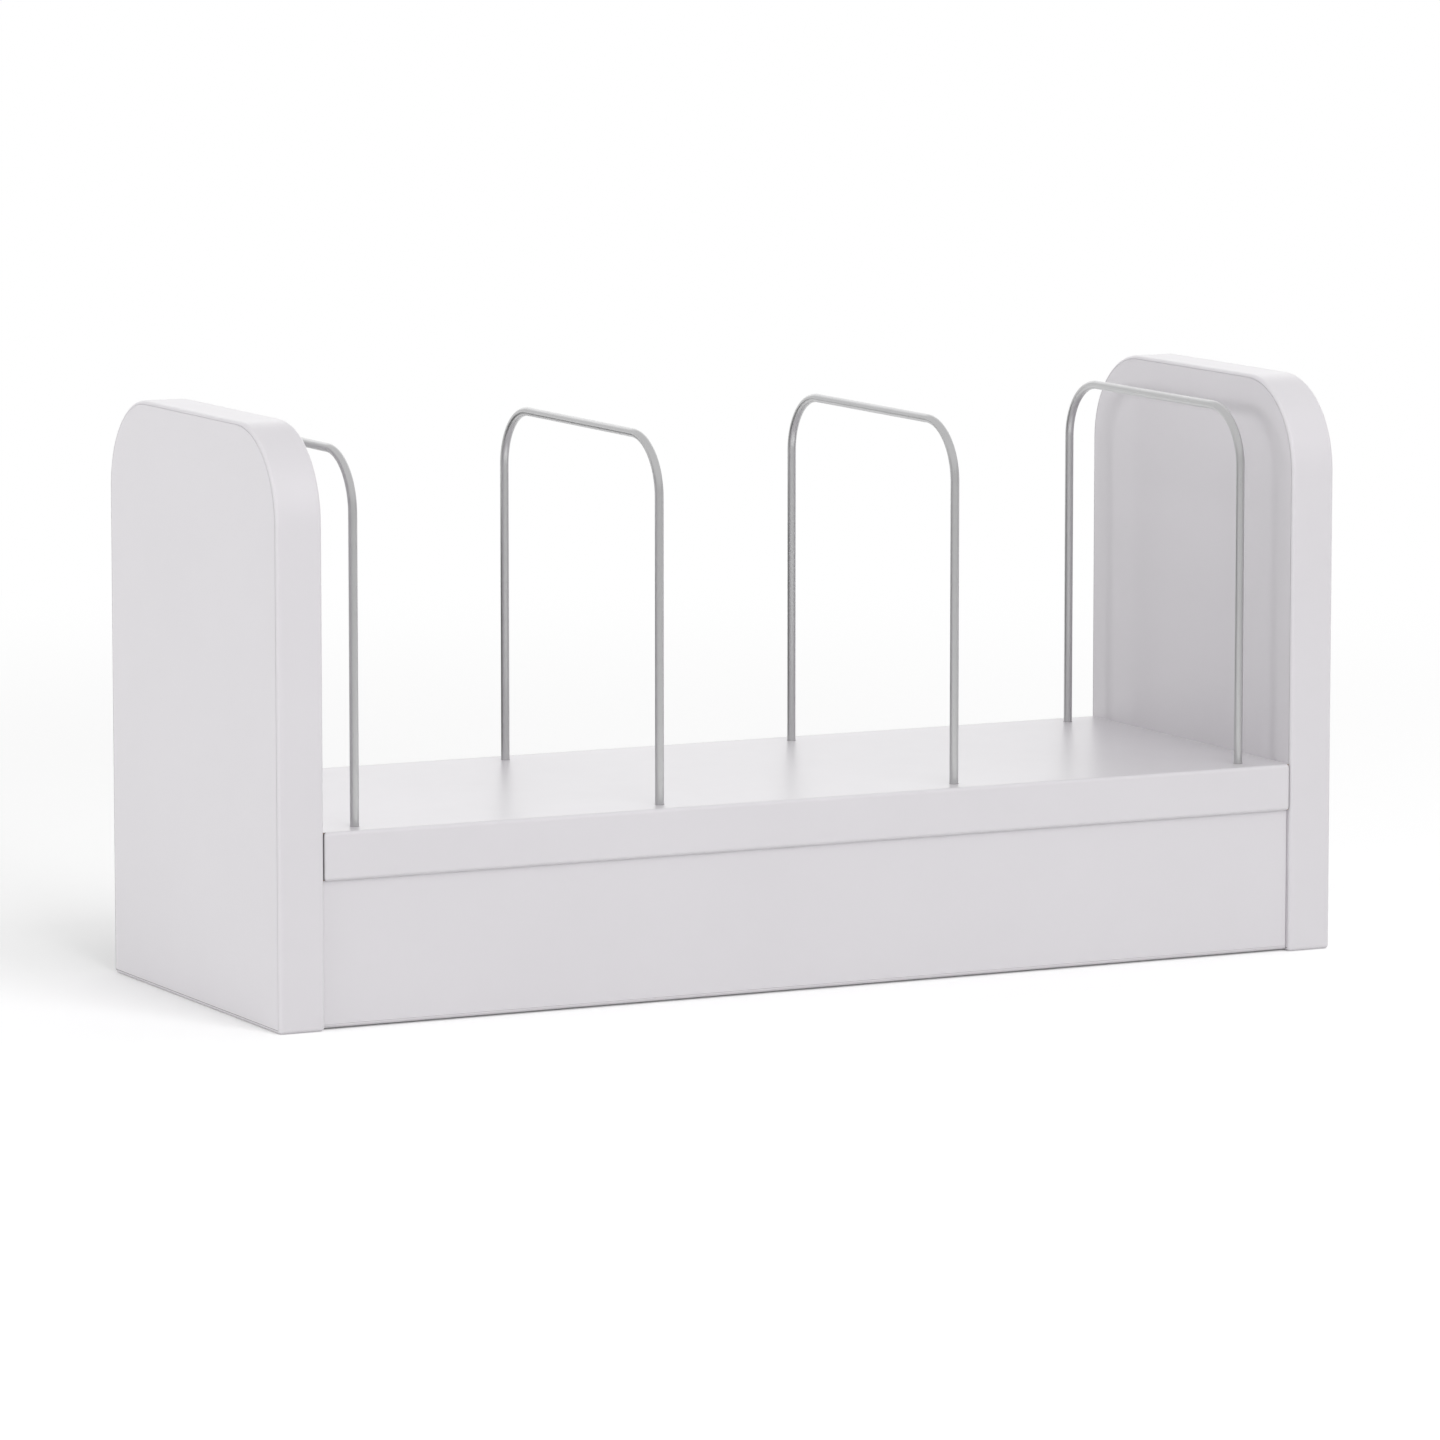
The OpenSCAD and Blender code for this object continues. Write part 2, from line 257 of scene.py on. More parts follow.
def edgingMaterial(s=edging):
    # Matt plastic strip. The UV map runs along the strip and across it, both in metres.
    material, tree, shader = newMaterial("edgeBand")
    place = coordinates(tree, "Object")
    scrape = noise(tree, coordinates(tree, "UV", s["scrapeScale"]), 1.0, detail=3.0, roughness=0.6)
    tone = noise(tree, place, s["toneScale"])
    white = blendColours(tree, ramp(tree, tone, *softContrast, 0.0, 1.0), s["shade"], s["white"])
    # Dark glue in the joints, with painted shade: darker on the upright joints and where a shelf band ends
    # in the gap beside an end board
    glueAndShade = tree.nodes.new("ShaderNodeAttribute")
    glueAndShade.attribute_name = "glueAndShade"
    connect(tree, blendColours(tree, glueAndShade.outputs["Fac"], white, s["glueAndShade"]), shader.inputs["Base Color"])
    connect(tree, ramp(tree, scrape, *softContrast, *s["roughness"]), shader.inputs["Roughness"])
    shader.inputs["Coat Weight"].default_value = s["coat"]
    shader.inputs["Coat Roughness"].default_value = s["coatRoughness"]
    pearl = bump(tree, noise(tree, place, s["pearlScale"], detail=1.0), s["pearlHeight"])
    connect(tree, bump(tree, scrape, s["scrapeHeight"], pearl), shader.inputs["Normal"])
    return material


rodFinish = {
    "steel": (0.620, 0.620, 0.624, 1.0),
    "dull": (0.587, 0.587, 0.591, 1.0),
    "roughness": (0.27, 0.34),
    "drawScale": (6.0, 5200.0, 1.0),  # along and round the rod
    "drawHeight": 0.0015 * mm,
    "drawShare": 0.6,  # of the drawn lines in the tone, where clouds make up the rest
    "cloudScale": 60.0,
}


def rodMaterial(s=rodFinish):
    # Satin steel with fine lines drawn along the rod. The UV map runs along it and round it, in metres.
    material, tree, shader = newMaterial("satinSteel")
    lines = noise(tree, coordinates(tree, "UV", s["drawScale"]), 1.0, detail=3.0, roughness=0.65)
    clouds = noise(tree, coordinates(tree, "Object"), s["cloudScale"], detail=3.0, roughness=0.6)
    tone = mixed(tree, s["drawShare"], lines, clouds)
    colour = blendColours(tree, ramp(tree, tone, *hardContrast, 0.0, 1.0), s["dull"], s["steel"])
    connect(tree, colour, shader.inputs["Base Color"])
    shader.inputs["Metallic"].default_value = 1.0
    low, high = s["roughness"]
    connect(tree, ramp(tree, tone, *hardContrast, high, low), shader.inputs["Roughness"])
    connect(tree, bump(tree, lines, s["drawHeight"]), shader.inputs["Normal"])
    return material


dowelFinish = {
    "pale": (0.62, 0.44, 0.27, 1.0),
    "dark": (0.44, 0.28, 0.15, 1.0),
    "fibreScale": (40.0, 900.0, 900.0),  # along and across the dowel
    "fibreShare": 0.65,  # of the fibres in the tone, where rings make up the rest
    "fibreHeight": 0.06 * mm,
    "ringShare": 0.25,  # the rings' scale, as a share of the fibres'
    "roughness": (0.55, 0.70),
}


def dowelMaterial(name, scale, s=dowelFinish):
    # Turned beech: pale wood with short dark flecks that follow the fibre
    material, tree, shader = newMaterial(name)
    fibre = noise(tree, coordinates(tree, "Object", scale), 1.0, detail=4.0, roughness=0.6)
    rings = noise(tree, coordinates(tree, "Object", tuple(v * s["ringShare"] for v in scale)), 1.0)
    tone = mixed(tree, s["fibreShare"], fibre, rings)
    colour = blendColours(tree, ramp(tree, tone, *hardContrast, 0.0, 1.0), s["dark"], s["pale"])
    connect(tree, colour, shader.inputs["Base Color"])
    low, high = s["roughness"]
    connect(tree, ramp(tree, fibre, *softContrast, high, low), shader.inputs["Roughness"])
    connect(tree, bump(tree, fibre, s["fibreHeight"]), shader.inputs["Normal"])
    return material


metalFinishes = {
    "zincCasting": {"pale": (0.50, 0.51, 0.53, 1.0), "dark": (0.34, 0.35, 0.37, 1.0), "scale": 700.0,
                    "roughness": (0.42, 0.62), "height": 0.03 * mm},
    "platedSteel": {"pale": (0.60, 0.60, 0.62, 1.0), "dark": (0.48, 0.48, 0.50, 1.0), "scale": 1100.0,
                    "roughness": (0.22, 0.36), "height": 0.008 * mm},
}


def metalMaterial(name):
    s = metalFinishes[name]
    material, tree, shader = newMaterial(name)
    grain = noise(tree, coordinates(tree, "Object"), s["scale"], detail=4.0, roughness=0.6)
    colour = blendColours(tree, ramp(tree, grain, *softContrast, 0.0, 1.0), s["dark"], s["pale"])
    connect(tree, colour, shader.inputs["Base Color"])
    shader.inputs["Metallic"].default_value = 1.0
    low, high = s["roughness"]
    connect(tree, ramp(tree, grain, *softContrast, high, low), shader.inputs["Roughness"])
    connect(tree, bump(tree, grain, s["height"]), shader.inputs["Normal"])
    return material


def coverNodes(nodes, material):
    for name in nodes:
        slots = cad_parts[name].data.materials
        slots.clear()
        slots.append(material)


for name, (axis, skin) in boardFaces.items():
    low, high = (corner["XYZ".index(axis)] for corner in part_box(name))
    coverNodes([name], melamineMaterial(name + "Melamine", axis, low, high, skin))
edgeBand = edgingMaterial()
satinSteel = rodMaterial()
coverNodes(["shelf_dowels", "rail_dowels"], dowelMaterial("beechAlongX", dowelFinish["fibreScale"]))
coverNodes(["rail_top_dowels"], dowelMaterial("beechAlongZ", dowelFinish["fibreScale"][::-1]))
coverNodes(["shelf_cams", "rail_cams"], metalMaterial("zincCasting"))
coverNodes(["shelf_cam_bolts", "rail_cam_bolts"], metalMaterial("platedSteel"))
print("stage: finishes made")


# Surfaces on a grid

mergeDecimals = 8  # decimals of a metre to which two corners agree before they share a vertex


def patch(points, normals, uv, glueAndShade=0.0):
    # One smooth surface: points and normals on a grid of m by n, its UV map and how dark its glue and
    # painted shade are
    shape = points.shape[:2]
    return {"points": points, "normals": normals, "uv": uv, "glueAndShade": np.broadcast_to(glueAndShade, shape)}


def makePiece(name, patches, material):
    # Each grid cell becomes two triangles. Corners that share a place share a vertex, a triangle that has
    # shrunk to a line is dropped, and each triangle is turned so that it faces the way of its normals.
    points, normals, uv, glueAndShade, corners, start = [], [], [], [], [], 0
    for p in patches:
        m, n = p["points"].shape[:2]
        index = start + np.arange(m * n).reshape(m, n)
        a, b, c, d = index[:-1, :-1], index[1:, :-1], index[1:, 1:], index[:-1, 1:]
        corners += [np.stack([a, b, c], -1).reshape(-1, 3), np.stack([a, c, d], -1).reshape(-1, 3)]
        points.append(p["points"].reshape(-1, 3))
        normals.append(p["normals"].reshape(-1, 3))
        uv.append(p["uv"].reshape(-1, 2))
        glueAndShade.append(p["glueAndShade"].reshape(-1))
        start += m * n
    points, normals, uv, glueAndShade, corners = map(np.concatenate, (points, normals, uv, glueAndShade, corners))
    places, shared = np.unique(np.round(points, mergeDecimals), axis=0, return_inverse=True)
    shared = shared.reshape(-1)
    met = shared[corners]
    whole = (met[:, 0] != met[:, 1]) & (met[:, 1] != met[:, 2]) & (met[:, 2] != met[:, 0])
    corners, met = corners[whole], met[whole]
    way = np.cross(places[met[:, 1]] - places[met[:, 0]], places[met[:, 2]] - places[met[:, 0]])
    turned = np.einsum("ij,ij->i", way, normals[corners].sum(1)) < 0
    corners[turned], met[turned] = corners[turned][:, ::-1], met[turned][:, ::-1]
    mesh = bpy.data.meshes.new(name)
    mesh.vertices.add(len(places))
    mesh.vertices.foreach_set("co", places.astype(np.float32).ravel())
    mesh.loops.add(met.size)
    mesh.loops.foreach_set("vertex_index", met.astype(np.int32).ravel())
    mesh.polygons.add(len(met))
    mesh.polygons.foreach_set("loop_start", np.arange(0, met.size, 3, dtype=np.int32))
    mesh.update(calc_edges=True)
    mesh.polygons.foreach_set("use_smooth", np.ones(len(met), bool))
    layer = mesh.uv_layers.new(name="alongAndAcross")
    layer.data.foreach_set("uv", uv[corners.ravel()].astype(np.float32).ravel())
    # How dark the glue and the painted shade are at each corner
    shade = mesh.attributes.new("glueAndShade", "FLOAT", "CORNER")
    shade.data.foreach_set("value", glueAndShade[corners.ravel()].astype(np.float32))
    mesh.normals_split_custom_set(normals[corners.ravel()].astype(float).tolist())
    mesh.materials.append(material)
    piece = bpy.data.objects.new(name, mesh)
    bpy.context.scene.collection.objects.link(piece)
    return piece


def arc(middle, radius, start, end, steps):
    # Points on an arc, and the directions from its middle to them
    angle = np.radians(np.linspace(start, end, steps + 1))
    out = np.stack([np.cos(angle), np.sin(angle)], 1)
    return np.asarray(middle) + radius * out, out


def straight(a, b, facing):
    # The two ends of a line, and the one direction that faces outwards along it
    points = np.array([a, b], float)
    out = np.tile([math.cos(math.radians(facing)), math.sin(math.radians(facing))], (2, 1))
    return points, out


# Edge bands

bandSizes = {
    "thick": 2.0 * mm,
    "edgeRadius": 2.0 * mm,
    "joint": 0.3 * mm,  # width of the fine V between band and board
    "cornerRadius": 48.0 * mm,  # the end boards' two top corners
    "roundSteps": 10,  # over each rounded edge
    "cornerSteps": 40,  # round each top corner
    "foldSteps": 12,  # round each tight corner
    "railEase": 1.0 * mm,  # radius of the rail's two front corners, seen from above
}
# Painted shade on the bands: joints darker upright than along the tops, and the shelf bands' ends darker in
# the gap
paintedBandShades = {
    "topLess": 0.90,  # share of the joint's darkness that is gone along the tops: painted shade, so that upright joints read darker
    "cornerStart": 0.70,  # how far sideways a shelf band faces, from 0 to 1, where its painted shade starts
    "cornerSpan": 0.20,  # how much further it turns until its painted shade is full
}


def bandSection(width, s=bandSizes):
    # Cross-section of a band on a board of that width. a is the distance out from the board's edge and b
    # runs across the board. Each part is smooth in itself and has its points, its normals and its glue.
    t, r, v = s["thick"], min(s["edgeRadius"], s["thick"]), s["joint"]
    # The V's slope a + b = v meets the rounding, a circle of radius r round (t - r, r), at this angle
    meets = math.degrees(math.asin((v - t) / (r * math.sqrt(2.0)))) - 45.0
    low, lowOut = arc((t - r, r), r, meets, 0.0, s["roundSteps"])
    slopeOut = np.tile([-math.sqrt(0.5), -math.sqrt(0.5)], (2, 1))
    edge = [(np.array([[0.0, v], low[0]]), slopeOut, 1.0), (low, lowOut, 0.0)]
    face = (np.array([[t, r], [t, width - r]]), np.tile([1.0, 0.0], (2, 1)), 0.0)
    other = [(p[::-1] * [1, -1] + [0, width], n[::-1] * [1, -1], g) for p, n, g in edge[::-1]]
    inner = (np.array([[0.0, width - v], [0.0, v]]), np.tile([-1.0, 0.0], (2, 1)), 0.0)
    return edge + [face] + other + [inner]


def evenShade(out):
    # How dark the glue is along a band, and how dark the painted shade makes the whole band there
    return np.ones(len(out)), np.zeros(len(out))


def uprightPaintedShade(out, s=paintedBandShades):
    # Painted shade: the joint's glue shows darkest on the upright stretches and least along the top
    return 1.0 - s["topLess"] * np.clip(out[:, 1], 0.0, 1.0), np.zeros(len(out))


def paintedGapShade(out, s=paintedBandShades):
    # Painted shade, darker where the rounded end of a shelf band turns into the gap beside the end board:
    # the share is
    # 3 t * t - 2 t * t * t, where t goes from 0 to 1
    turned = np.clip((np.abs(out[:, 0]) - s["cornerStart"]) / s["cornerSpan"], 0.0, 1.0)
    return np.ones(len(out)), turned * turned * (3.0 - 2.0 * turned)


def noGlue(out):
    # The joint keeps the strip's own white
    return np.zeros(len(out)), np.zeros(len(out))


def carryBand(path, width, place, shade, s):
    # The section is carried along the path: point = path + a * out, and b goes along the third axis.
    # place turns (u, v, b) in the path's plane into x, y and z.
    line = np.concatenate([p for p, _ in path])
    out = np.concatenate([o for _, o in path])
    # The glue's darkness, partly painted shade on the upright joints, and painted shade over a shelf band's
    # ends
    glueAndShadeShare, paintedShadeShare = shade(out)
    outer = line + s["thick"] * out
    along = np.concatenate([[0.0], np.cumsum(np.linalg.norm(np.diff(outer, axis=0), axis=1))])
    patches, across = [], 0.0
    for points, normals, glueAndShade in bandSection(width, s):
        a, b = points[:, 0], points[:, 1]
        flat = line[:, None] + a[None, :, None] * out[:, None]
        grid = np.concatenate([flat, np.broadcast_to(b[None, :, None], flat.shape[:2] + (1,))], -1)
        turn = normals[None, :, 0:1] * out[:, None]
        facing = np.concatenate([turn, np.broadcast_to(normals[None, :, 1:2], turn.shape[:2] + (1,))], -1)
        step = np.concatenate([[0.0], np.cumsum(np.linalg.norm(np.diff(points, axis=0), axis=1))])
        uv = np.stack(np.broadcast_arrays(along[:, None], across + step[None, :]), -1)
        dark = np.maximum(glueAndShade * glueAndShadeShare, paintedShadeShare)[:, None]
        patches.append(patch(place(grid), place(facing, True), uv, dark))
        across += step[-1]
    return patches


def bandEnd(path, last, width, place, s):
    # Closes one end of a band: the section's outline is joined to its middle
    line, out = (path[-1][0][-1], path[-1][1][-1]) if last else (path[0][0][0], path[0][1][0])
    outline = np.concatenate([p for p, _, _ in bandSection(width, s)])
    ring = np.stack([np.tile([s["thick"] / 2, width / 2], (len(outline), 1)), outline], 0)
    flat = line + ring[..., 0:1] * out
    grid = np.concatenate([flat, ring[..., 1:2]], -1)
    side = 1.0 if last else -1.0
    facing = np.broadcast_to(np.array([out[1] * side, -out[0] * side, 0.0]), grid.shape)
    return patch(place(grid), place(facing, True), ring)


def bandPiece(name, node, path, width, place, flip=1.0, shade=evenShade, s=bandSizes):
    # flip is negative where the path runs the other way round, so that its ends face the other way
    ends = [bandEnd(path, last, width, place, s) for last in (False, True)]
    if flip < 0:
        for e in ends:
            e["normals"] = -e["normals"]
    piece = makePiece(name, carryBand(path, width, place, shade, s) + ends, edgeBand)
    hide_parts(node)
    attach(piece, "shelf_unit")


def onEnd(left):
    # u is depth, v is height and b goes across the end board, from its left face
    def place(grid, turning=False):
        x = grid[..., 2] + (0.0 if turning else left)
        return np.stack([x, grid[..., 0], grid[..., 1]], -1)
    return place


def endBands(name, s=bandSizes):
    low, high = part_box(name + "_end_edge_band")
    front, back, top = low.y, high.y, high.z
    leftFace, rightFace = (corner.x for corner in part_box(name + "_end_board"))
    width, place = rightFace - leftFace, onEnd(leftFace)
    t, corner = s["thick"], s["cornerRadius"]
    turn = corner - t
    path = [
        arc((front + t, t), 0.0, 270.0, 180.0, s["foldSteps"]),
        straight((front + t, t), (front + t, top - corner), 180.0),
        arc((front + corner, top - corner), turn, 180.0, 90.0, s["cornerSteps"]),
        straight((front + corner, top - t), (back - corner, top - t), 90.0),
        arc((back - corner, top - corner), turn, 90.0, 0.0, s["cornerSteps"]),
        straight((back - t, top - corner), (back - t, t), 0.0),
        arc((back - t, t), 0.0, 0.0, -90.0, s["foldSteps"]),
    ]
    bandPiece(name + "EndEdgeBand", name + "_end_edge_band", path, width, place, 1.0, uprightPaintedShade)
    base = [straight((front + t, t), (back - t, t), 270.0)]
    bandPiece(name + "EndBaseBand", name + "_end_base_band", base, width, place, -1.0)


def shelfBand(name, s=bandSizes):
    # side is -1 for the front and 1 for the back. u is width, v is depth and b is height.
    side = -1.0 if name == "front" else 1.0
    low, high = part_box(f"shelf_{name}_band")
    bottom, top = (corner.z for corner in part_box("shelf_board"))
    t = s["thick"]
    edge = low.y + t if side < 0 else high.y - t
    facing, last = 180.0 - 90.0 * side, 180.0 - 180.0 * side

    def place(grid, turning=False):
        return grid if turning else grid + np.array([0.0, 0.0, bottom])
    path = [
        arc((low.x + t, edge), 0.0, 180.0, facing, s["foldSteps"]),
        straight((low.x + t, edge), (high.x - t, edge), facing),
        arc((high.x - t, edge), 0.0, facing, last, s["foldSteps"]),
    ]
    node = f"shelf_{name}_band"
    bandPiece(f"shelf{name.title()}Band", node, path, top - bottom, place, side, paintedGapShade)


def railBand(s=bandSizes):
    # u is width, v is height and b is depth, from the front. Towards each end the front is drawn in by
    # r - sqrt(r * r - (r - d) ** 2), where d is the distance from the end and r the radius of the corner.
    low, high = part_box("rail_base_band")
    front, back = (corner.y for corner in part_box("rail_board"))
    width, ease = back - front, s["railEase"]
    rise = ease * (1.0 - np.cos(np.radians(np.linspace(0.0, 90.0, s["foldSteps"] + 1))))
    across = np.concatenate([low.x + rise, high.x - rise[::-1]])

    def place(grid, turning=False):
        if turning:
            return grid[..., [0, 2, 1]]
        distance = np.minimum(grid[..., 0] - low.x, high.x - grid[..., 0])
        short = np.clip(ease - distance, 0.0, ease)
        inset = ease - np.sqrt(ease * ease - short * short)
        y = front + inset + grid[..., 2] * (1.0 - inset / width)
        return np.stack([grid[..., 0], y, grid[..., 1]], -1)
    line = np.column_stack([across, np.full(len(across), low.z + s["thick"])])
    path = [(line, np.tile([0.0, -1.0], (len(across), 1)))]
    bandPiece("railBaseBand", "rail_base_band", path, width, place, -1.0, noGlue)


for end, edge in (("left", "front"), ("right", "back")):
    endBands(end)
    shelfBand(edge)
railBand()
print("stage: edge bands made")


# Dividers

rodSizes = {
    "insideRadius": 28.0 * mm,  # of the two bends
    "chamfer": 0.5 * mm,  # at each foot
    "roundSteps": 48,
    "bendSteps": 36,
}
bodyOfDivider = {1: "left_divider", 2: "centre_left_divider", 3: "centre_right_divider", 4: "right_divider"}


def rodPatches(low, high, s=rodSizes):
    # A circle carried along the rod's middle line: up one leg, round a quarter bend, along the bar, round
    # the other bend and down. Each foot has a chamfer and a flat end.
    d = high.x - low.x
    r, bend = d / 2, s["insideRadius"] + d / 2
    x, front, back, foot, bar = (low.x + high.x) / 2, low.y + r, high.y - r, low.z, high.z - r
    c = s["chamfer"]
    path = [
        straight((front, foot + c), (front, bar - bend), 180.0),
        arc((front + bend, bar - bend), bend, 180.0, 90.0, s["bendSteps"]),
        straight((front + bend, bar), (back - bend, bar), 90.0),
        arc((back - bend, bar - bend), bend, 90.0, 0.0, s["bendSteps"]),
        straight((back, bar - bend), (back, foot + c), 0.0),
    ]
    line = np.concatenate([p for p, _ in path])
    out = np.concatenate([o for _, o in path])
    line3 = np.column_stack([np.full(len(line), x), line])
    out3 = np.column_stack([np.zeros(len(out)), out])
    angle = np.linspace(0.0, 2 * np.pi, s["roundSteps"] + 1)
    sideways = np.array([1.0, 0.0, 0.0])
    circle = np.cos(angle)[None, :, None] * out3[:, None] + np.sin(angle)[None, :, None] * sideways
    along = np.concatenate([[0.0], np.cumsum(np.linalg.norm(np.diff(line, axis=0), axis=1))])
    uv = np.stack(np.broadcast_arrays(along[:, None], (angle * r)[None, :]), -1)
    patches = [patch(line3[:, None] + r * circle, circle, uv)]
    drop, down = np.array([0.0, 0.0, -c]), np.array([0.0, 0.0, -1.0])
    around = np.stack([np.stack([np.full_like(angle, v), angle * r], -1) for v in (0.0, c)], 0)
    for end in (0, -1):
        ring, middle = circle[end], line3[end]
        narrow = middle + drop + (r - c) * ring
        slope = (ring + down) / math.sqrt(2.0)
        patches.append(patch(np.stack([middle + r * ring, narrow]), np.stack([slope, slope]), around))
        disc = np.stack([narrow, np.broadcast_to(middle + drop, narrow.shape)])
        patches.append(patch(disc, np.broadcast_to(down, disc.shape), around))
    return patches


for number, body in bodyOfDivider.items():
    node = f"divider_{number}"
    rod = makePiece(f"dividerRod{number}", rodPatches(*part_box(node)), satinSteel)
    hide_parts(node)
    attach(rod, body)
print("stage: divider rods made")


# Floor, backdrop and light

studio = {
    "floorSize": 40.0,  # metres
    "floorWhite": (1.0, 1.0, 1.0, 1.0),
    "floorGlow": 0.07,  # lifts the floor a little where the camera or a reflection sees it
    "whiteFrom": (0.5, 1.7),  # metres from the middle between which the floor seen turns to plain white
    "floorBounce": (0.65, 0.65, 0.65, 1.0),  # what the floor sends back onto the object
    "skyStrength": 0.44,  # of the light from all round
    "skyMirrored": 0.8,  # what a reflection sees of the sky, where the camera sees plain white
    "aim": (0.0, 0.0, 0.12),  # metres: the point that every lamp faces
}
# turn is in degrees from +Y towards +X, tilt in degrees above the floor, distance and size in metres and
# power in watts. Reflections see only the mirrored lamps, and floorOnly lights nothing but the floor.
lamps = {
    "key": {"turn": 178.0, "tilt": 24.0, "distance": 3.2, "size": (2.2, 1.1), "power": 20.5},
    "highKey": {"turn": 178.0, "tilt": 42.0, "distance": 3.2, "size": (2.2, 1.4), "power": 19.0},
    "sideKey": {"turn": 120.0, "tilt": 60.0, "distance": 3.2, "size": (2.2, 1.6), "power": 4.0},
    "rightFill": {"turn": 92.0, "tilt": 45.0, "distance": 3.0, "size": (1.8, 1.4), "power": 6.0},
    "leftFill": {"turn": 270.0, "tilt": 12.0, "distance": 2.8, "size": (2.0, 0.8), "power": 21.8},
    "backWall": {"turn": 26.0, "tilt": 9.0, "distance": 4.0, "size": (5.0, 1.4), "power": 2.8,
                 "mirrored": True},
    "backHigh": {"turn": 26.0, "tilt": 24.0, "distance": 4.0, "size": (5.0, 1.6), "power": 13.0,
                 "mirrored": True},
    "backTop": {"turn": 26.0, "tilt": 40.0, "distance": 4.0, "size": (5.0, 1.6), "power": 20.0},
    "floorKey": {"turn": 175.0, "tilt": 22.0, "distance": 4.5, "size": (3.0, 1.6), "power": 62.0,
                 "floorOnly": True},
}


def pathShare(tree):
    # 1 where the camera, a reflection or a clear material looks, and 0 for the light that bounces
    path = tree.nodes.new("ShaderNodeLightPath")
    seen = maths(tree, "MAXIMUM", path.outputs["Is Camera Ray"], path.outputs["Is Glossy Ray"])
    return maths(tree, "MAXIMUM", seen, path.outputs["Is Transmission Ray"])


def makeFloor(s=studio):
    mesh = bpy.data.meshes.new("floor")
    half = s["floorSize"] / 2
    corners = [(-half, -half, 0), (half, -half, 0), (half, half, 0), (-half, half, 0)]
    mesh.from_pydata(corners, [], [(0, 1, 2, 3)])
    material, tree, output = emptyMaterial("floor")
    kinds = ("ShaderNodeBsdfDiffuse", "ShaderNodeBsdfDiffuse", "ShaderNodeEmission", "ShaderNodeEmission",
             "ShaderNodeAddShader", "ShaderNodeMixShader", "ShaderNodeMixShader")
    seen, bounced, glow, plain, lifted, fading, both = (tree.nodes.new(kind) for kind in kinds)
    seen.inputs["Color"].default_value = s["floorWhite"]
    bounced.inputs["Color"].default_value = s["floorBounce"]
    glow.inputs["Strength"].default_value = s["floorGlow"]
    plain.inputs["Strength"].default_value = 1.0
    distance = tree.nodes.new("ShaderNodeVectorMath")
    distance.operation = "LENGTH"
    tree.links.new(coordinates(tree, "Object"), distance.inputs[0])
    far = ramp(tree, distance.outputs["Value"], *s["whiteFrom"], 0.0, 1.0)
    far.node.interpolation_type = "SMOOTHSTEP"
    tree.links.new(seen.outputs[0], lifted.inputs[0])
    tree.links.new(glow.outputs[0], lifted.inputs[1])
    tree.links.new(far, fading.inputs[0])
    tree.links.new(lifted.outputs[0], fading.inputs[1])
    tree.links.new(plain.outputs[0], fading.inputs[2])
    tree.links.new(pathShare(tree), both.inputs[0])
    tree.links.new(bounced.outputs[0], both.inputs[1])
    tree.links.new(fading.outputs[0], both.inputs[2])
    tree.links.new(both.outputs[0], output.inputs["Surface"])
    mesh.materials.append(material)
    floor = bpy.data.objects.new("floor", mesh)
    bpy.context.scene.collection.objects.link(floor)
    return floor


def makeSky(s=studio):
    world = bpy.data.worlds.new("studio")
    bpy.context.scene.world = world
    world.use_nodes = True
    tree = world.node_tree
    tree.nodes.clear()
    output = tree.nodes.new("ShaderNodeOutputWorld")
    light, white = (tree.nodes.new("ShaderNodeBackground") for _ in range(2))
    for node in (light, white):
        node.inputs["Color"].default_value = (1.0, 1.0, 1.0, 1.0)
    light.inputs["Strength"].default_value = s["skyStrength"]
    camera = tree.nodes.new("ShaderNodeLightPath").outputs["Is Camera Ray"]
    connect(tree, ramp(tree, camera, 0.0, 1.0, s["skyMirrored"], 1.0), white.inputs["Strength"])
    both = tree.nodes.new("ShaderNodeMixShader")
    tree.links.new(pathShare(tree), both.inputs[0])
    tree.links.new(light.outputs[0], both.inputs[1])
    tree.links.new(white.outputs[0], both.inputs[2])
    tree.links.new(both.outputs[0], output.inputs["Surface"])


screen = {
    "radius": 0.8,  # metres, as the height is
    "height": 0.45,
    "end": 93.0,  # where it starts and stops, in degrees to each side of the way that the camera looks
    "steps": 96,
    "grey": 0.65,  # strength on the camera's side
    "leftEdge": (93.0, 140.0, 0.25),  # between these two angles the share rises from the third number to 1
    "rightEdge": (93.0, 115.0, 0.50),
}


def onlyMirrored(piece):
    piece.visible_camera = piece.visible_diffuse = piece.visible_shadow = piece.visible_transmission = False


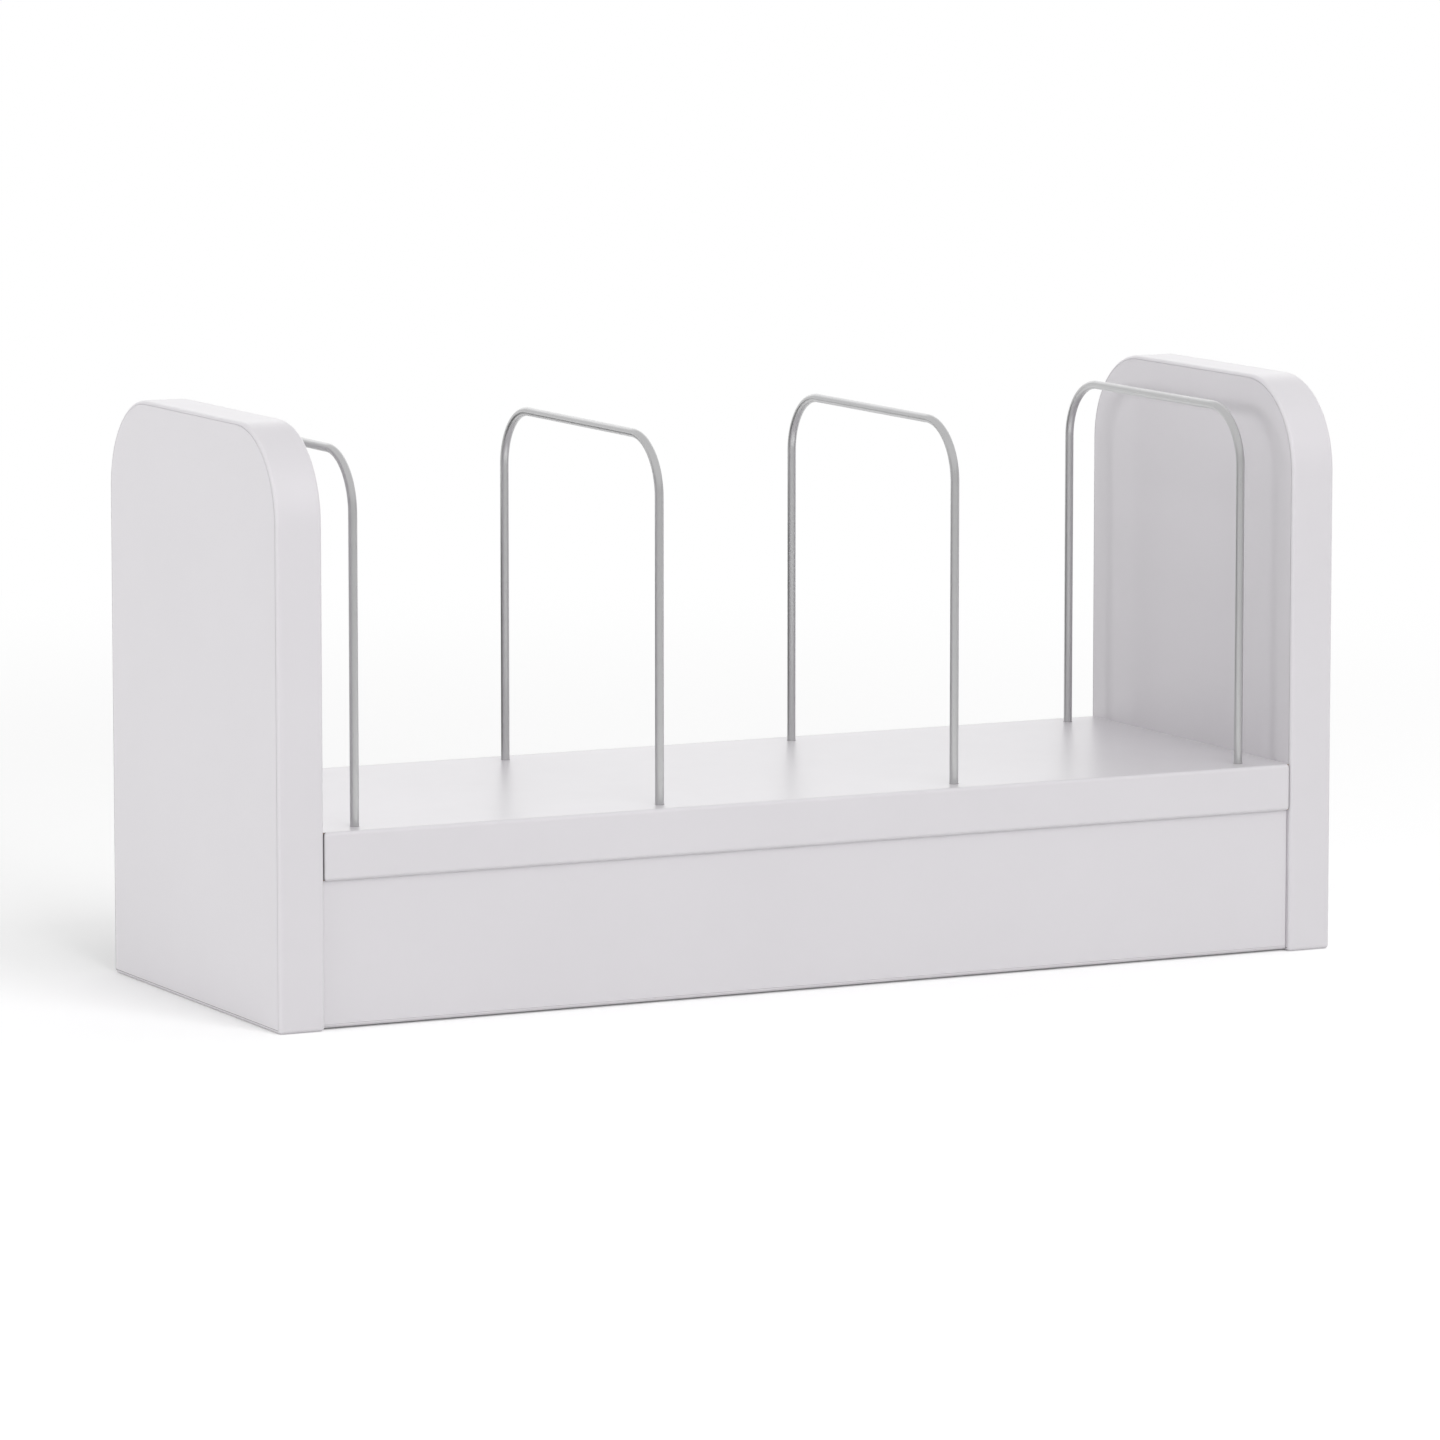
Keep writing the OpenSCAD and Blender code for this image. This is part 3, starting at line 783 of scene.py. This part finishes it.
def makeScreen(s=screen):
    # A low curved screen round the camera's side of the object, seen only in reflections. It gives the
    # steel rods a grey middle and dark edges. The UV map's u is the angle from the camera's way, to its
    # left, as a share of the full turn.
    angle = np.linspace(s["end"], 360.0 - s["end"], s["steps"] + 1)
    turn = np.radians(viewpoint["turn"] - angle)
    foot = np.stack([np.sin(turn), np.cos(turn), np.zeros_like(turn)], 1) * s["radius"]
    grid = np.stack([foot, foot + np.array([0.0, 0.0, s["height"]])], 0)
    uv = np.stack(np.broadcast_arrays(angle[None, :] / 360.0, np.array([[0.0], [1.0]])), -1)
    material, tree, glow = glowMaterial("greyScreen")
    apart = tree.nodes.new("ShaderNodeSeparateXYZ")
    tree.links.new(coordinates(tree, "UV"), apart.inputs["Vector"])
    left = maths(tree, "MULTIPLY", apart.outputs["X"], 360.0)
    right = maths(tree, "SUBTRACT", 360.0, left)
    shares = []
    for side, (start, full, least) in ((left, s["leftEdge"]), (right, s["rightEdge"])):
        share = ramp(tree, side, start, full, least, 1.0)
        share.node.interpolation_type = "SMOOTHSTEP"
        shares.append(share)
    strength = maths(tree, "MULTIPLY", maths(tree, "MULTIPLY", *shares), s["grey"])
    connect(tree, strength, glow.inputs["Strength"])
    inward = np.broadcast_to(-foot / s["radius"], grid.shape)
    onlyMirrored(makePiece("greyScreen", [patch(grid, inward, uv)], material))


flag = {
    "behind": (18.0 * mm, 700.0 * mm),  # where it starts and ends, behind the object
    "inset": 15.0 * mm,  # from the left face, so that this face doesn't mirror it
    "height": 200.0 * mm,
    "grey": 0.16,  # strength
}


def makeFlag(s=flag):
    # A dark card on edge behind the left end, seen only in reflections. It darkens the rods' left edges.
    x, (start, end) = cadLow.x + s["inset"], (cadHigh.y + v for v in s["behind"])
    grid = np.array([[[x, start, z], [x, end, z]] for z in (0.0, s["height"])])
    material, tree, glow = glowMaterial("darkFlag")
    glow.inputs["Strength"].default_value = s["grey"]
    facing = np.broadcast_to(np.array([1.0, 0.0, 0.0]), grid.shape)
    onlyMirrored(makePiece("darkFlag", [patch(grid, facing, grid[..., 1:])], material))


def makeLamp(name, floor, aim=studio["aim"]):
    s = lamps[name]
    turn, tilt = math.radians(s["turn"]), math.radians(s["tilt"])
    outward = Vector((math.sin(turn) * math.cos(tilt), math.cos(turn) * math.cos(tilt), math.sin(tilt)))
    data = bpy.data.lights.new(name, "AREA")
    data.shape = "RECTANGLE"
    data.size, data.size_y = s["size"]
    data.energy = s["power"]
    lamp = bpy.data.objects.new(name, data)
    lamp.location = Vector(aim) + outward * s["distance"]
    lamp.rotation_mode = "QUATERNION"
    lamp.rotation_quaternion = (-outward).to_track_quat("-Z", "Y")
    lamp.visible_camera = False
    lamp.visible_glossy = s.get("mirrored", False)
    bpy.context.scene.collection.objects.link(lamp)
    if s.get("floorOnly"):
        receivers = bpy.data.collections.new(name + "Receivers")
        receivers.objects.link(floor)
        lamp.light_linking.receiver_collection = receivers


floor = makeFloor()
makeSky()
makeScreen()
makeFlag()
for name in lamps:
    makeLamp(name, floor)
print("stage: studio made")

bpy.context.scene.view_settings.view_transform = "Standard"
